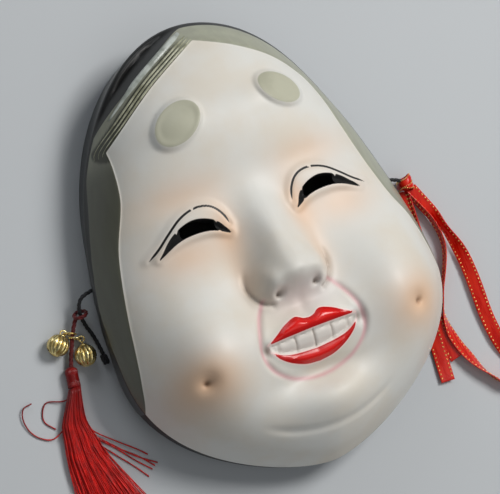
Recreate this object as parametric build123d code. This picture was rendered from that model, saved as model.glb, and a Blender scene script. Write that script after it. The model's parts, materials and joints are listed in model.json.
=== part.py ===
from build123d import *
import os
from math import cos, exp, hypot, pi, radians, sin, tan

# A smiling woman's mask, lying on its flat back rim.
# +X is the viewer's right, +Y is the top of the head, +Z is out of the face.
# The origin is the middle of the mask's footprint on the rim's plane.

# Driving dimensions, in millimetres
HALF_WIDTH = 75.5       # cheek to the middle line, at the widest level
TOP_HALF = 134.0        # cheek line to the top of the head
BOTTOM_HALF = 66.0      # cheek line to the chin
CHEEK_Y = -34.0         # height of the widest line
WALL = 5.0              # thickness of the carved shell
WIDE_LEVEL = 12.0       # height of the widest outline above the rim
TUCK = 6.5              # how far the rim lies inside the widest outline, beside the cheeks
TUCK_Y = -25.0
TUCK_REACH = 50.0       # the tuck fades to nothing at the top of the head and at the chin
CROWN = 47.0            # height of the plain dome above the rim
FOREHEAD_RISE = 14.0
CHEEK_RISE = 14.0
NOSE_RISE = 20.0
EYE_INNER = 20.6        # the eyes are cut through between these distances from the middle line
EYE_OUTER = 36.9
CORD_HOLE_Y = 6.4
CORD_HOLE_Z = 11.0
CORD_HOLE_R = 2.0
BLACK_CORD = 1.8        # diameter
RED_CORD = 2.0          # diameter
RIBBON_WIDTH = 7.0
RIBBON_THICK = 0.7

# Bells that hang from rings round the red cord
BELL_R = 4.8
BELL_WALL = 0.5
SLOT_WIDTH = 0.9
SLOT_REACH = 2.6
PELLET_R = 1.6
PELLET_GAP = 0.2
HANG_HEIGHT = 3.6       # height of the red cord above the table
HANG_LOOP_R = 2.7
RING_R = 2.7
RING_WIRE = 0.4
RING_SHIFT = 1.2        # from the red cord's middle to the ring's middle
LOOP_R = 1.25
LOOP_WIRE = 0.35
STEM_SHIFT = 0.06       # the loop's stem starts this far outside the middle of its wire
LOOP_SHIFT = 4.05       # from the red cord's middle to the middle of a bell's loop
BELLS = {               # distance down the cord, side, lean in degrees, loop to middle
    "bell_a": (7.2, -1, 20.2, 5.95),
    "bell_b": (9.0, 1, 16.1, 7.4),
}

# Routes of the soft pieces
CORD_START = (-81.9, -1.6)
CORD_WAY = (-0.420, -0.9075)
LEFT_CORD_ROUTE = [
    (-64.3, 6.4, 11.0),
    (-75.2, 6.4, 11.0),
    (-79.6, 2.2, 8.6),
    (-78.8, -5.4, 3.8),
    (-75.6, -13.0, 1.2),
    (-75.0, -21.0, 1.2),
]
HANGING_CORD_ROUTE = [
    (-81.3, -2.0, 5.6),
    (-84.2, -6.6, 3.8),
    (-87.0, -12.6, 3.6),
    (-89.8, -18.7, 3.4),
    (-91.9, -25.4, 3.3),
    (-92.6, -32.4, 3.2),
]
RIGHT_CORD_ROUTE = [
    (64.3, 6.4, 11.0),
    (75.6, 6.4, 11.0),
    (80.0, 3.2, 9.0),
]
RIBBON_KNOT = (81.8, 1.6, 7.0)
RIBBON_LOOP_ROUTE = [
    (84.0, -1.0),
    (88.4, -11.5),
    (93.2, -23.0),
    (96.6, -36.5),
    (97.0, -51.5),
    (96.2, -67.0),
    (97.8, -82.0),
    (101.4, -92.5),
    (98.6, -99.4),
    (92.8, -99.6),
    (87.6, -92.6),
    (82.6, -84.2),
    (77.8, -73.0),
    (76.6, -61.5),
    (80.2, -50.0),
    (86.2, -40.0),
    (90.6, -29.5),
    (89.4, -18.5),
    (86.0, -9.5),
    (82.3, -1.2),
]
RIBBON_TAIL_LONG_ROUTE = [
    (79.4, -1.0),
    (78.2, -15.5),
    (77.4, -29.5),
    (74.8, -43.5),
    (71.0, -57.0),
    (69.2, -72.0),
    (68.0, -88.0),
]
RIBBON_TAIL_SHORT_ROUTE = [
    (80.9, -1.2),
    (80.4, -15.0),
    (79.8, -29.0),
    (77.4, -42.5),
    (73.8, -55.0),
    (72.4, -67.5),
    (75.8, -79.8),
]

# Tassel: a bound head, then stations of the loose skirt (x, y, half width, half height)
TASSEL_DOWN = 21.8      # where the head starts down the red cord
TASSEL_HEAD_R = 3.1
TASSEL_HEAD_END = (-92.3, -29.2, 3.3)
TASSEL_STATIONS = [
    (-92.4, -29.9, 3.0, 3.0),
    (-97.0, -43.0, 5.8, 3.2),
    (-97.2, -60.0, 9.2, 3.0),
    (-93.6, -89.0, 15.0, 2.2),
]

# Shape of the outline and the dome
CHIN_POINT = 0.35       # the outline is an ellipse above, and a little more pointed at the chin
SHOULDER = 0.95         # where the dome's roll to the side wall ends
SHOULDER_SLOPE = 3.8
SHEET_X = 80.0          # half size of the surface sheets before they are trimmed
SHEET_Y = 104.0
SHEET_STEP = 3.5
OUTLINE_POINTS = 40
BLOCK_HEIGHT = 95.0


def smooth(low, high, value):
    """A soft step from 0 at low to 1 at high."""
    part = max(0.0, min(1.0, (value - low) / (high - low)))
    return part * part * (3.0 - 2.0 * part)


def bump(x, y, centre_x, centre_y, spread_x, spread_y):
    """A soft round swelling of height 1."""
    return exp(-((x - centre_x) / spread_x) ** 2 - ((y - centre_y) / spread_y) ** 2)


def gauge(x, y, inset=0.0):
    """0 at the cheek line's middle and 1 on the egg-shaped outline."""
    side = abs(x)
    rise = y - CHEEK_Y
    reach = max(hypot(side, rise), 1e-6)
    half = (TOP_HALF if rise > 0 else BOTTOM_HALF) - inset
    power = 2.0 + CHIN_POINT * min(rise, 0.0) / reach
    return ((side / (HALF_WIDTH - inset)) ** power + (abs(rise) / half) ** power) ** (1.0 / power)


def outline_point(turn, inset=0.0):
    """The point of the outline in one direction from the cheek line's middle."""
    scale = gauge(cos(turn), CHEEK_Y + sin(turn), inset)
    for _ in range(3):
        scale = gauge(cos(turn) / scale, CHEEK_Y + sin(turn) / scale, inset) * scale
    return (cos(turn) / scale, CHEEK_Y + sin(turn) / scale)


def edge_height(y):
    """Height of the side wall's top: low at the chin, tall at the head's top."""
    return 10.0 + 8.0 * bump(0.0, y, 0.0, -40.0, 1.0, 32.0) + 12.0 * smooth(45.0, 95.0, y)


def dome(level, y):
    """1 at the crown, falling ever steeper to the side wall; the cheeks are the boxiest part."""
    inner = min(level, SHOULDER)
    power = 3.5 + 1.5 * smooth(30.0, -30.0, y)
    return (1.0 - inner ** power) ** 0.65 - SHOULDER_SLOPE * max(0.0, level - SHOULDER)


def nose(x, y):
    bridge = smooth(30.0, -12.0, y) * smooth(-31.0, -17.0, y)
    ridge = exp(-(x / (6.0 + 6.0 * smooth(22.0, -14.0, y))) ** 2)
    wings = bump(abs(x), y, 12.0, -18.5, 6.0, 7.0)
    return NOSE_RISE * bridge * ridge + 10.0 * wings


def relief(x, y):
    """Everything carved on the plain dome."""
    side = abs(x)
    rise = CHEEK_RISE * bump(side, y, 45.0, -40.0, 21.0, 26.0)
    rise += nose(x, y)
    rise += 8.5 * bump(x, y, 0.0, -41.0, 24.0, 14.0)
    rise += 7.0 * bump(x, y, 0.0, -75.0, 19.0, 11.0)
    rise -= 3.5 * bump(x, y, 0.0, -63.0, 17.0, 5.0)
    rise += 2.5 * bump(side, y, 31.0, 17.0, 19.0, 9.0)
    rise += 2.0 * bump(side, y, 22.5, 57.0, 12.0, 7.5)
    rise -= 3.0 * bump(side, y, 50.0, -49.0, 4.0, 4.0)
    return rise * (1.0 - min(gauge(x, y), 1.0) ** 6)


def face_height(x, y, inset=0.0, carving=1.0):
    """Height of the face above the rim; an inset gives the hollow's ceiling."""
    low = edge_height(y) - 0.2 * inset
    crown = CROWN + FOREHEAD_RISE * smooth(12.0, 62.0, y) - inset
    return low + (crown - low) * dome(gauge(x, y, inset), y) + carving * relief(x, y)


def surface(inset=0.0, carving=1.0):
    columns = int(2 * SHEET_X / SHEET_STEP)
    rows = int(2 * SHEET_Y / SHEET_STEP)
    points = []
    for column in range(columns + 1):
        x = -SHEET_X + 2 * SHEET_X * column / columns
        line = []
        for row in range(rows + 1):
            y = -SHEET_Y + 2 * SHEET_Y * row / rows
            line.append(Vector(x, y, face_height(x, y, inset, carving)))
        points.append(line)
    return Face.make_surface_from_array_of_points(points, tol=0.1)


def outline_face(inset, tuck=0.0):
    points = []
    for step in range(OUTLINE_POINTS):
        turn = 2 * pi * step / OUTLINE_POINTS
        tucked = inset + tuck * bump(0.0, outline_point(turn, inset)[1], 0.0, TUCK_Y, 1.0, TUCK_REACH)
        points.append(outline_point(turn, tucked))
    return make_face(Spline(*points, periodic=True))


def block_under(inset, carving):
    """Sides that lean out from the rim to the widest level, then stand upright to the face surface."""
    wide = Pos(0, 0, WIDE_LEVEL) * outline_face(inset)
    column = Solid.extrude(surface(inset, carving), Vector(0, 0, -2 * BLOCK_HEIGHT))
    upper = extrude(wide, amount=BLOCK_HEIGHT - WIDE_LEVEL) & column
    return upper + loft([outline_face(inset, TUCK), wide])


def eye_opening(side):
    """The middle of the drawn crescent eye, cut through the shell."""
    upper = Spline((15.8, 6.3), (20.5, 13.2), (29.5, 16.4), (39.0, 13.4), (47.4, 6.0))
    lower = Spline((47.4, 6.0), (38.5, 9.8), (31.0, 10.8), (23.0, 9.8), (15.8, 6.3))
    crescent = Pos(0, 0, 15) * extrude(make_face([upper, lower]), amount=70)
    slit = crescent & Pos((EYE_INNER + EYE_OUTER) / 2, 0, 50) * Box(EYE_OUTER - EYE_INNER, 60, 100)
    return slit if side > 0 else mirror(slit, about=Plane.YZ)


def mask_shell():
    shell = block_under(0.0, 1.0) - block_under(WALL, 0.75)
    shell -= eye_opening(-1)
    shell -= eye_opening(1)
    bore = Pos(0, CORD_HOLE_Y, CORD_HOLE_Z) * Rot(0, 90, 0) * Cylinder(CORD_HOLE_R, 4 * HALF_WIDTH)
    return shell - bore


def corner_radii(name, route):
    """Each corner's arc is as large as its two runs allow."""
    places = [Vector(*point) for point in route]
    radii = []
    for before, corner, after in zip(places, places[1:], places[2:]):
        run_in = corner - before
        run_out = after - corner
        turn = radians(run_in.get_angle(run_out))
        radii.append(0.45 * min(run_in.length, run_out.length) / tan(turn / 2))
    print(name, "radii", [round(radius, 1) for radius in radii])
    return radii


def soft_run(name, route, section, area):
    """A cord or ribbon along straight runs joined by tangent arcs."""
    path = FilletPolyline(*route, radius=corner_radii(name, route))
    start = Plane(origin=path @ 0, x_dir=(0, 0, 1), z_dir=path % 0)
    solid = sweep(start * section, path=path)
    print(name, "length", round(path.length, 1), "volume", round(solid.volume, 2),
          "expected", round(path.length * area, 2))
    return solid


def cord(name, route, diameter):
    return soft_run(name, route, Circle(diameter / 2), pi * diameter ** 2 / 4)


def ribbon(name, route):
    """A satin band standing on its edge."""
    middle = RIBBON_WIDTH / 2
    level = [(x, y, middle) for x, y in route]
    return soft_run(name, level, Rectangle(RIBBON_WIDTH, RIBBON_THICK), RIBBON_WIDTH * RIBBON_THICK)


def knot(centre, half_x, half_y, half_z):
    """A tied knot as a plain rounded lump."""
    ball = Sphere(1.0)
    return Pos(*centre) * scale(ball, by=(half_x, half_y, half_z))


def across(sign):
    """Level direction from the red cord towards the left (-1) or right (+1) bell."""
    return (-CORD_WAY[1] * sign, CORD_WAY[0] * sign)


def beside_cord(down, sign, shift, height):
    """A point so far down the red cord and so far to one side of it."""
    out = across(sign)
    x = CORD_START[0] + down * CORD_WAY[0] + shift * out[0]
    y = CORD_START[1] + down * CORD_WAY[1] + shift * out[1]
    return (x, y, height)


def bell_way(lean, sign):
    """Level direction from a bell's loop to the bell's middle."""
    out = across(sign)
    turn = radians(lean)
    return (CORD_WAY[0] * cos(turn) + out[0] * sin(turn), CORD_WAY[1] * cos(turn) + out[1] * sin(turn), 0)


def cord_ring(down, sign):
    """A wire ring that hangs round the red cord."""
    centre = beside_cord(down, sign, RING_SHIFT, HANG_HEIGHT)
    return Plane(origin=centre, z_dir=(CORD_WAY[0], CORD_WAY[1], 0)) * Torus(RING_R, RING_WIRE)


def bell_plane(down, sign, lean, drop):
    """A plane at the bell's middle, whose +Z points away from its loop."""
    loop = Vector(*beside_cord(down, sign, LOOP_SHIFT, BELL_R))
    way = bell_way(lean, sign)
    return Plane(origin=loop + Vector(*way) * drop, x_dir=(0, 0, 1), z_dir=way)


def bell_loop(down, sign, lean, drop):
    """A level wire loop whose stem runs into the bell's crown."""
    centre = beside_cord(down, sign, LOOP_SHIFT, HANG_HEIGHT)
    way = bell_way(lean, sign)
    eye = Pos(*centre) * Torus(LOOP_R, LOOP_WIRE)
    start = Vector(*centre) + Vector(*way) * (LOOP_R + STEM_SHIFT)
    end = Vector(*beside_cord(down, sign, LOOP_SHIFT, BELL_R)) + Vector(*way) * (drop - BELL_R + BELL_WALL)
    rod = Cylinder(LOOP_WIRE, (end - start).length, align=(Align.CENTER, Align.CENTER, Align.MIN))
    return eye + Plane(origin=start, z_dir=end - start) * rod


def bell_shell(down, sign, lean, drop):
    """A hollow ball with a sounding slot that ends in two round holes."""
    ball = Sphere(BELL_R) - Sphere(BELL_R - BELL_WALL)
    ball -= Pos(0, 0, BELL_R) * Box(SLOT_WIDTH, 2 * SLOT_REACH, BELL_R)
    for reach in (-SLOT_REACH, SLOT_REACH):
        ball -= Pos(0, reach, BELL_R / 2) * Cylinder(SLOT_WIDTH, BELL_R)
    return bell_plane(down, sign, lean, drop) * ball


def pellet(down, sign, lean, drop):
    """A loose steel ball, at the bottom of the bell's hollow."""
    middle = bell_plane(down, sign, lean, drop).origin
    low = BELL_WALL + PELLET_GAP + PELLET_R
    return Pos(middle.X, middle.Y, low) * Sphere(PELLET_R)


def hanging_loop():
    """The red cord's tied eye, loose round the black cord."""
    upper = Vector(*LEFT_CORD_ROUTE[2])
    lower = Vector(*LEFT_CORD_ROUTE[3])
    return Plane(origin=(upper + lower) / 2, z_dir=lower - upper) * Torus(HANG_LOOP_R, RED_CORD / 2 - 0.1)


def tassel_plane(part_way):
    start = Vector(*beside_cord(TASSEL_DOWN, 1, 0.0, HANG_HEIGHT - 0.3))
    end = Vector(*TASSEL_HEAD_END)
    return Plane(origin=start + (end - start) * part_way, z_dir=end - start)


def tassel_head():
    """The folded tops of the threads, round the end of the red cord."""
    length = (tassel_plane(1.0).origin - tassel_plane(0.0).origin).length
    barrel = Cylinder(TASSEL_HEAD_R, length, align=(Align.CENTER, Align.CENTER, Align.MIN))
    barrel = fillet(barrel.edges().filter_by(GeomType.CIRCLE), 1.2)
    return tassel_plane(0.0) * (barrel - Cylinder(RED_CORD / 2, 4 * length))


def tassel_binding():
    """Thread wound round the head."""
    band = Cylinder(TASSEL_HEAD_R + 0.25, 3.0) - Cylinder(TASSEL_HEAD_R, 6.0)
    return tassel_plane(0.55) * band


def tassel_skirt():
    """The loose threads as one solid that lies on the table and fans out."""
    sections = []
    for x, y, half_wide, half_high in TASSEL_STATIONS:
        plane = Plane(origin=(x, y, half_high + 0.1), x_dir=(1, 0, 0), z_dir=(0, -1, 0))
        sections.append(plane * Ellipse(half_wide, half_high))
    return loft(sections)


def write(name, shape):
    export_step(shape, os.path.join("parts", name + ".step"))


def main():
    os.makedirs("parts", exist_ok=True)
    write("mask_shell", mask_shell())
    write("left_stopper_knot", knot((-64.2, CORD_HOLE_Y, CORD_HOLE_Z), 2.2, 3.2, 3.0))
    write("left_cord", cord("left_cord", LEFT_CORD_ROUTE, BLACK_CORD))
    write("left_tail_knot", knot((-75.3, -23.2, 1.9), 1.7, 2.4, 1.8))
    write("hanging_loop", hanging_loop())
    write("hanging_cord", cord("hanging_cord", HANGING_CORD_ROUTE, RED_CORD))
    for name, (down, sign, lean, drop) in BELLS.items():
        write(name + "_ring", cord_ring(down, sign))
        write(name + "_loop", bell_loop(down, sign, lean, drop))
        write(name + "_shell", bell_shell(down, sign, lean, drop))
        write(name + "_pellet", pellet(down, sign, lean, drop))
        print(name, "hinge", beside_cord(down, sign, LOOP_SHIFT, HANG_HEIGHT))
    write("tassel_head", tassel_head())
    write("tassel_binding", tassel_binding())
    write("tassel_skirt", tassel_skirt())
    write("right_stopper_knot", knot((64.2, CORD_HOLE_Y, CORD_HOLE_Z), 2.2, 3.2, 3.0))
    write("right_cord", cord("right_cord", RIGHT_CORD_ROUTE, BLACK_CORD))
    write("ribbon_knot", knot(RIBBON_KNOT, 3.4, 3.6, 4.6))
    write("ribbon_loop", ribbon("ribbon_loop", RIBBON_LOOP_ROUTE))
    write("ribbon_tail_long", ribbon("ribbon_tail_long", RIBBON_TAIL_LONG_ROUTE))
    write("ribbon_tail_short", ribbon("ribbon_tail_short", RIBBON_TAIL_SHORT_ROUTE))


main()
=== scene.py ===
import json
from math import cos, pi, radians, sin

import bmesh
import bpy
import numpy as np
from mathutils import Matrix, Vector


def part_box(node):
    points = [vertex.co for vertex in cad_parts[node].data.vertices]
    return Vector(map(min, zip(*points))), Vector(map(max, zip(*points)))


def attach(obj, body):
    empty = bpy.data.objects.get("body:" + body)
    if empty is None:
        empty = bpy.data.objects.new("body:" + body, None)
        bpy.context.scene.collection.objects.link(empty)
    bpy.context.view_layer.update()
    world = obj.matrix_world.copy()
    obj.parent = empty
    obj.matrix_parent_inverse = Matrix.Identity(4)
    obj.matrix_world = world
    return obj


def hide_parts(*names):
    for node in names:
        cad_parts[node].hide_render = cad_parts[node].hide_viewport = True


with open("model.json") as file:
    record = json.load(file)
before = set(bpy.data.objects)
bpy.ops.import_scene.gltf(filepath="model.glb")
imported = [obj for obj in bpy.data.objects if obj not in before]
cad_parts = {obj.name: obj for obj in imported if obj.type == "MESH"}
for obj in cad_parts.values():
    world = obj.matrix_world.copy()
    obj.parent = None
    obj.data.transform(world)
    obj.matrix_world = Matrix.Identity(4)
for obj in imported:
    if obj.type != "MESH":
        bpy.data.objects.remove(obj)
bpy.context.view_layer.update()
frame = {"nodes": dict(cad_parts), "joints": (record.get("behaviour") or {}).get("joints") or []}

# Shapes are worked out in millimetres, as in the CAD model, and made in metres.
MM = 0.001

# ---- small helpers


def link(name, data):
    piece = bpy.data.objects.new(name, data)
    bpy.context.scene.collection.objects.link(piece)
    return piece


def mesh_piece(name, points, faces, material, smooth=True):
    """A mesh object from points in millimetres."""
    mesh = bpy.data.meshes.new(name)
    mesh.from_pydata([tuple(point) for point in np.asarray(points) * MM], [], faces)
    mesh.validate()
    mesh.polygons.foreach_set("use_smooth", [smooth] * len(mesh.polygons))
    mesh.materials.append(material)
    return link(name, mesh)


def srgb(red, green, blue):
    """A linear colour from the usual 0 to 255 values."""
    values = [channel / 255.0 for channel in (red, green, blue)]
    return tuple(v / 12.92 if v <= 0.04045 else ((v + 0.055) / 1.055) ** 2.4 for v in values) + (1.0,)


def soft_step(low, high, value):
    """A soft step from 0 at low to 1 at high, on numbers or arrays."""
    part = np.clip((value - low) / (high - low), 0.0, 1.0)
    return part * part * (3.0 - 2.0 * part)


def hump(distance, spread):
    """1 at no distance, fading to 0 both ways."""
    return np.exp(-(distance / spread) ** 2)


def bump(x, y, centre_x, centre_y, spread_x, spread_y):
    """A soft round swelling of height 1."""
    return np.exp(-((x - centre_x) / spread_x) ** 2 - ((y - centre_y) / spread_y) ** 2)


def swellings(x, y, rows):
    """A sum of swellings; a row is a height, a centre and a spread."""
    return sum(height * bump(x, y, *place) for height, *place in rows)


def unit(vectors):
    return vectors / np.linalg.norm(vectors, axis=-1, keepdims=True)


def circle(count):
    """Angles once round."""
    return 2 * pi * np.arange(count) / count


def turned(turns, first, second):
    """Directions turned from the first towards the second."""
    return np.cos(turns)[:, None] * first + np.sin(turns)[:, None] * second


def around(way):
    """Two directions across a way."""
    across = unit(np.cross(way, (0.0, 0.0, 1.0)))
    return across, np.cross(way, across)


def level_ring(radius, height, turns):
    """A ring about +Z."""
    heights = np.broadcast_to(height, len(turns))
    return np.column_stack([radius * np.cos(turns), radius * np.sin(turns), heights])


def through(points, steps=10):
    """A smooth line through given points."""
    places = np.array(points, float)
    places = np.vstack([2 * places[0] - places[1], places, 2 * places[-1] - places[-2]])
    t = np.arange(steps)[:, None] / steps
    spans = [0.5 * (2 * start + (end - before) * t + (2 * before - 5 * start + 4 * end - after) * t ** 2
                    + (3 * start - before - 3 * end + after) * t ** 3)
             for before, start, end, after in zip(places, places[1:], places[2:], places[3:])]
    return np.vstack([*spans, places[-2]])


def distance_along(line, x, y):
    """Each place's distance to a line, and the share of the line at its nearest point."""
    steps = line[1:, :2] - line[:-1, :2]
    runs = np.hypot(*steps.T)
    starts = np.concatenate([[0.0], np.cumsum(runs)])
    best = np.full(np.shape(x), np.inf)
    share = np.zeros(np.shape(x))
    for (ax, ay), (dx, dy), run, start in zip(line[:, :2], steps, runs, starts):
        if run > 0:
            t = np.clip(((x - ax) * dx + (y - ay) * dy) / run ** 2, 0.0, 1.0)
            away = np.hypot(x - ax - t * dx, y - ay - t * dy)
            closer = away < best
            best = np.where(closer, away, best)
            share = np.where(closer, (start + t * run) / starts[-1], share)
    return best, share


def depth_inside(outline, x, y):
    """Signed distance to a closed outline, positive inside it."""
    ring = np.vstack([outline, outline[:1]])
    away, _ = distance_along(ring, x, y)
    inside = np.zeros(np.shape(x), bool)
    for (ax, ay), (bx, by) in zip(ring, ring[1:]):
        if ay != by:
            inside ^= ((ay > y) != (by > y)) & (x < (bx - ax) * (y - ay) / (by - ay) + ax)
    return np.where(inside, away, -away)


# ---- camera, lights, floor

CAMERA_PLACE = Vector((-277.9, -45.1, 892.8)) * MM
CAMERA_AIM = Vector((-1.4, -0.9, 20.0)) * MM
CAMERA_UP = Vector((0.3385, 0.9292, 0.1482))
CAMERA_LENS = 152.2
FLOOR_HALF = 1500.0


def make_camera():
    data = bpy.data.cameras.new("camera")
    data.sensor_width = 36.0
    data.lens = CAMERA_LENS
    camera = link("camera", data)
    back = (CAMERA_PLACE - CAMERA_AIM).normalized()
    right = CAMERA_UP.cross(back).normalized()
    up = back.cross(right)
    camera.matrix_world = Matrix.Translation(CAMERA_PLACE) @ Matrix((right, up, back)).transposed().to_4x4()
    bpy.context.scene.camera = camera


def area_light(name, place, power, size, colour):
    data = bpy.data.lights.new(name, "AREA")
    data.energy = power
    data.size = size
    data.color = colour
    light = link(name, data)
    light.location = place
    light.rotation_euler = (Vector((0, 0, 0.03)) - Vector(place)).to_track_quat("-Z", "Y").to_euler()


def make_stage():
    area_light("key", (0.72, 0.28, 1.14), 12.6, 0.50, (1.0, 0.985, 0.965))
    area_light("top", (-0.20, 1.15, 0.85), 2.6, 0.60, (0.94, 0.97, 1.0))
    area_light("fill", (0.10, -0.70, 1.30), 2.8, 1.20, (1.0, 1.0, 1.0))
    world = bpy.data.worlds.new("studio")
    world.use_nodes = True
    background = world.node_tree.nodes["Background"].inputs
    background["Color"].default_value = (0.80, 0.85, 0.90, 1.0)
    background["Strength"].default_value = 0.13
    bpy.context.scene.world = world
    bpy.context.scene.view_settings.view_transform = "Standard"
    sheet = Material("floor")
    sheet.set({"Base Color": srgb(196, 200, 203), "Roughness": 0.7})
    corners = [(x * FLOOR_HALF, y * FLOOR_HALF, 0) for x, y in ((-1, -1), (1, -1), (1, 1), (-1, 1))]
    mesh_piece("floor", corners, [(0, 1, 2, 3)], sheet.material, smooth=False)


# ---- materials


class Material:
    """A node material with one Principled shader and short calls to wire it."""

    def __init__(self, name):
        self.material = bpy.data.materials.new(name)
        self.material.use_nodes = True
        self.tree = self.material.node_tree
        self.shader = self.tree.nodes["Principled BSDF"]

    def node(self, kind, **settings):
        made = self.tree.nodes.new(kind)
        for key, value in settings.items():
            setattr(made, key, value)
        return made

    def put(self, socket, value):
        if isinstance(value, bpy.types.NodeSocket):
            self.tree.links.new(value, socket)
        else:
            socket.default_value = value

    def set(self, values):
        for name, value in values.items():
            self.put(self.shader.inputs[name], value)

    def attribute(self, name):
        return self.node("ShaderNodeAttribute", attribute_name=name).outputs["Fac"]

    def between(self, value, low, high, to_low=0.0, to_high=1.0):
        """A smooth step of a value, from to_low at low to to_high at high."""
        made = self.node("ShaderNodeMapRange", interpolation_type="SMOOTHSTEP")
        for socket, number in zip(made.inputs, (value, low, high, to_low, to_high)):
            self.put(socket, number)
        return made.outputs[0]

    def mix(self, share, first, second, kind="RGBA"):
        """Two colours mixed, or two numbers with the kind FLOAT."""
        made = self.node("ShaderNodeMix", data_type=kind)
        start, out = {"RGBA": (6, 2), "FLOAT": (2, 0)}[kind]
        self.put(made.inputs["Factor"], share)
        self.put(made.inputs[start], first)
        self.put(made.inputs[start + 1], second)
        return made.outputs[out]

    def noise(self, size, detail=3.0, stretch=None, distortion=0.0):
        """Noise whose grain is about size metres, in the object's own coordinates."""
        made = self.node("ShaderNodeTexNoise")
        place = self.node("ShaderNodeTexCoord").outputs["Object"]
        if stretch:
            mapping = self.node("ShaderNodeMapping")
            self.put(mapping.inputs["Scale"], stretch)
            self.put(mapping.inputs["Vector"], place)
            place = mapping.outputs["Vector"]
        values = {"Scale": 1.0 / size, "Detail": detail, "Distortion": distortion, "Vector": place}
        for name, value in values.items():
            self.put(made.inputs[name], value)
        return made.outputs["Fac"]

    def bumps(self, *layers):
        """Bumps laid over each other, each a height, a strength and a depth in metres."""
        normal = None
        for height, strength, depth in layers:
            made = self.node("ShaderNodeBump")
            for name, value in (("Strength", strength), ("Distance", depth), ("Height", height)):
                self.put(made.inputs[name], value)
            if normal:
                self.put(made.inputs["Normal"], normal)
            normal = made.outputs["Normal"]
        self.set({"Normal": normal})


def layered(name, base, layers, rough, bumps, **settings):
    """A material of noise layers over a base colour.

    A layer is its noise and, if it tints, its range and share, and its colour. A varying roughness and the
    bumps name their layer by its number.
    """
    made = Material(name)
    noises, colour = [], base
    for grain, *tint in layers:
        noises.append(made.noise(*grain))
        if tint:
            (low, high, share), shade = tint
            colour = made.mix(made.between(noises[-1], low, high, 0.0, share), colour, shade)
    if isinstance(rough, tuple):
        rough = made.between(noises[rough[0]], *rough[1:])
    made.set({"Base Color": colour, "Roughness": rough})
    made.set({key.replace("_", " "): value for key, value in settings.items()})
    made.bumps(*[(noises[number], strength, depth) for number, strength, depth in bumps])
    return made.material


IVORY = srgb(227, 226, 220)
IVORY_WARM = srgb(224, 217, 204)
PEACH = srgb(238, 190, 148)
ROSE = srgb(222, 168, 172)
LIP_RED = srgb(234, 18, 8)
LIP_DEEP = srgb(200, 8, 8)
SAGE = srgb(160, 161, 144)
SAGE_LIGHT = srgb(168, 170, 150)
# Dark sage for the painted shade on the hair
SAGE_PAINTED_SHADE = srgb(62, 62, 50)
INK = srgb(9, 8, 8)
# Brown for the painted shade in the face's recesses
PIT_SHADE = srgb(96, 70, 52)
TOOTH = srgb(226, 220, 212)
WOOD = srgb(168, 118, 66)
WOOD_DARK = srgb(104, 66, 36)
LACQUER = srgb(20, 20, 19)
# A pale outline round the lips, partly a painted highlight on its raised edge
LIP_RIM_AND_HIGHLIGHT = srgb(250, 222, 216)
BROW_LIGHT = srgb(190, 189, 168)
BROW_DARK = srgb(172, 171, 150)


def painted_face():
    """Paint over the carved shell: each edge is a distance in millimetres, worked out on the mesh."""
    paint = Material("painted_face")
    cloud = paint.noise(0.030, 4.0)
    sheen = paint.noise(0.004, 4.0, stretch=(1.0, 0.18, 1.0))
    brow_colour = paint.mix(paint.between(cloud, 0.40, 0.62), BROW_LIGHT, BROW_DARK)
    lip_colour = paint.mix(paint.between(paint.attribute("lip"), 0.2, 2.4), LIP_DEEP, LIP_RED)
    hair_colour = paint.mix(paint.between(sheen, 0.35, 0.68), SAGE, SAGE_LIGHT)
    # Painted shade on the hair: darker on the shadowed left side and lower down on the right
    hair_colour = paint.mix(paint.attribute("hair_painted_shade"), hair_colour, SAGE_PAINTED_SHADE)
    colour = paint.mix(paint.between(cloud, 0.35, 0.70), IVORY, IVORY_WARM)
    coats = [
        ("blush", None, PEACH),
        ("rosy", None, ROSE),
        ("tooth", (-0.15, 0.15), TOOTH),
        # painted shade in the dimples, nostrils, mouth corners, nose-wing creases and between the teeth
        ("pit_shade", None, PIT_SHADE),
        ("brow", (-0.05, 0.45), brow_colour),
        # a pale outline just outside the lips, partly a painted highlight along the raised ridge there
        ("lip", (-0.85, -0.25, 0.0, 0.75), LIP_RIM_AND_HIGHLIGHT),
        ("lip", (-0.12, 0.12), lip_colour),
        ("lid_line", (-0.14, 0.14), INK),
        ("eye_paint", (-0.14, 0.14), INK),
        ("hair", (-0.12, 0.12), hair_colour),
        ("wall", (-0.12, 0.12), LACQUER),
    ]
    for name, edge, tint in coats:
        share = paint.attribute(name)
        if edge:
            share = paint.between(share, *edge)
        colour = paint.mix(share, colour, tint)
    rough = paint.between(cloud, 0.3, 0.7, 0.50, 0.57)
    for name, value in (("lip", 0.27), ("hair", 0.34), ("eye_paint", 0.85)):
        rough = paint.mix(paint.between(paint.attribute(name), -0.1, 0.1), rough, value, "FLOAT")
    paint.set({"Base Color": colour, "Roughness": rough, "Coat Weight": 0.07, "Coat Roughness": 0.30})
    paint.bumps((cloud, 0.15, 0.0012), (paint.noise(0.0011), 0.10, 0.00012))
    return paint.material


def bare_wood():
    """The unpainted hollow and rim: straight grain, pores and a rubbed, uneven stain."""
    layers = [
        ((0.006, 5.0, (1.0, 0.10, 1.0), 0.6), (0.36, 0.66, 1.0), WOOD_DARK),
        ((0.0009, 3.0, (1.0, 0.12, 1.0)), (0.55, 0.75, 0.5), srgb(70, 42, 24)),
        ((0.035,), (0.40, 0.70, 0.35), WOOD_DARK),
    ]
    bumps = [(0, 0.25, 0.0003), (1, 0.25, 0.0001)]
    return layered("bare_wood", WOOD, layers, (2, 0.3, 0.7, 0.52, 0.68), bumps)


def hair_paint(name, light, dark, rough):
    """Painted strands of the combed hair: sage lacquer, painted lighter than the hair round them as a painted
    highlight, rubbed darker in streaks.
    """
    layers = [
        ((0.003, 4.0, (0.5, 0.5, 1.0)), (0.34, 0.68, 1.0), dark),
        ((0.0008,), (0.60, 0.80, 0.3), dark),
    ]
    return layered(name, light, layers, rough, [(1, 0.15, 0.00008)])


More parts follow.
